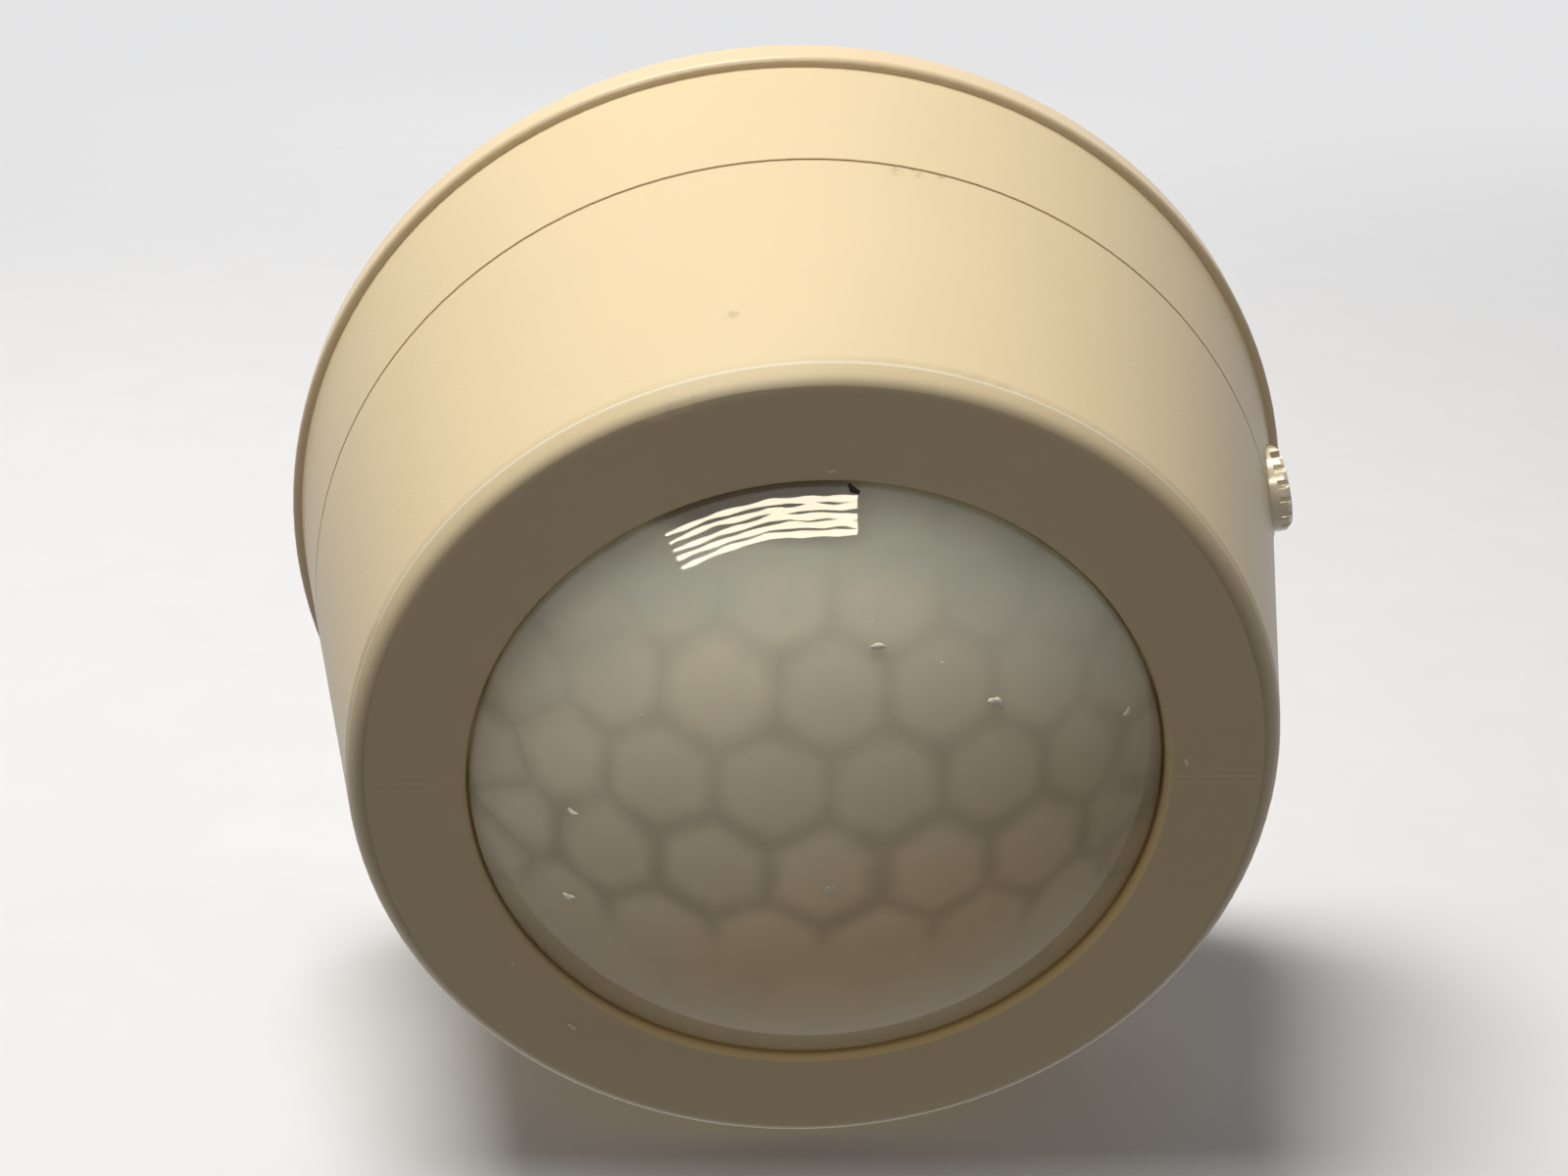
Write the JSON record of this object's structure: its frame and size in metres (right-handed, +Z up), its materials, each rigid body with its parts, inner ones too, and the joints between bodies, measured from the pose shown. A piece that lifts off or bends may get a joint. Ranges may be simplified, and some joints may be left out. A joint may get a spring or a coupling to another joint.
{
  "type": "occupancy sensor",
  "caption": "Round beige ceiling occupancy sensor: tapered housing on a rimmed base, with a milky domed lens of hexagonal cells in its ring face.",
  "frame": {"origin": "middle of the flat mounting face, midway between the two box screw slots", "axes": "+Z up into the ceiling, the sensor hangs below and its lens looks down; +X along the line of the screw slots, towards the side with the adjuster knob"},
  "size_m": [0.1142, 0.1142, 0.0694],
  "materials": {
    "base_plastic": "moulded beige, satin",
    "housing_plastic": "moulded beige, satin, a little dust",
    "lens_plastic": "milky, glossy outside, cells inside",
    "screw_steel": "zinc plated steel",
    "board_laminate": "green solder mask",
    "spacer_brass": "turned brass",
    "black_plastic": "black moulding compound",
    "can_metal": "drawn metal can",
    "filter_pane": "dark coated filter",
    "photocell_ceramic": "coated ceramic",
    "lamp_plastic": "red tinted resin",
    "knob_plastic": "glossy cream",
    "trimmer_plastic": "blue moulding",
    "rotor_plastic": "white moulding",
    "terminal_plastic": "green moulding",
    "film_case": "yellow box",
    "varistor_coating": "blue dipped coating",
    "fuse_case": "brown case",
    "choke_core": "ferrite with a lacquered winding",
    "resistor_coating": "tan lacquer"
  },
  "bodies": {
    "sensor": {"mounting_base": "base_plastic", "housing": "housing_plastic", "lens": "lens_plastic", "lens_retainer": "base_plastic", "retainer_screws": "screw_steel", "main_board_screws": "screw_steel", "spacer_screws": "screw_steel", "main_board": "board_laminate", "sensor_board": "board_laminate", "board_spacers": "spacer_brass", "board_connector": "black_plastic", "detector_can": "can_metal", "detector_window": "filter_pane", "photocell": "photocell_ceramic", "indicator_lamp": "lamp_plastic", "controller_chip": "black_plastic", "amplifier_chip": "black_plastic", "adjuster_block": "black_plastic", "sensitivity_trimmer_body": "trimmer_plastic", "light_trimmer_body": "trimmer_plastic", "terminal_block": "terminal_plastic", "terminal_screws": "screw_steel", "relay": "black_plastic", "film_capacitor": "film_case", "varistor": "varistor_coating", "fuse": "fuse_case", "choke": "choke_core", "rectifier": "black_plastic", "voltage_regulator": "black_plastic", "smoothing_capacitor": "can_metal", "output_capacitor": "can_metal", "resistors": "resistor_coating", "diodes": "black_plastic"},
    "adjuster": {"adjuster_knob": "knob_plastic", "adjuster_shaft": "screw_steel"},
    "sensitivity_rotor": {"sensitivity_trimmer_rotor": "rotor_plastic"},
    "light_rotor": {"light_trimmer_rotor": "rotor_plastic"}
  },
  "joints": [
    {"name": "adjuster_turn", "type": "hinge", "parent": "sensor", "child": "adjuster", "pos_m": [0.05126, -0.0109, -0.0141], "axis": [0.9781, -0.2079, 0], "range_deg": [-135, 135]},
    {"name": "sensitivity_turn", "type": "hinge", "parent": "sensor", "child": "sensitivity_rotor", "pos_m": [-0.03499, -0.005, -0.02], "axis": [0, 0, 1], "range_deg": [-115, 115]},
    {"name": "light_turn", "type": "hinge", "parent": "sensor", "child": "light_rotor", "pos_m": [-0.02599, -0.005, -0.02], "axis": [0, 0, 1], "range_deg": [-115, 115]}
  ]
}
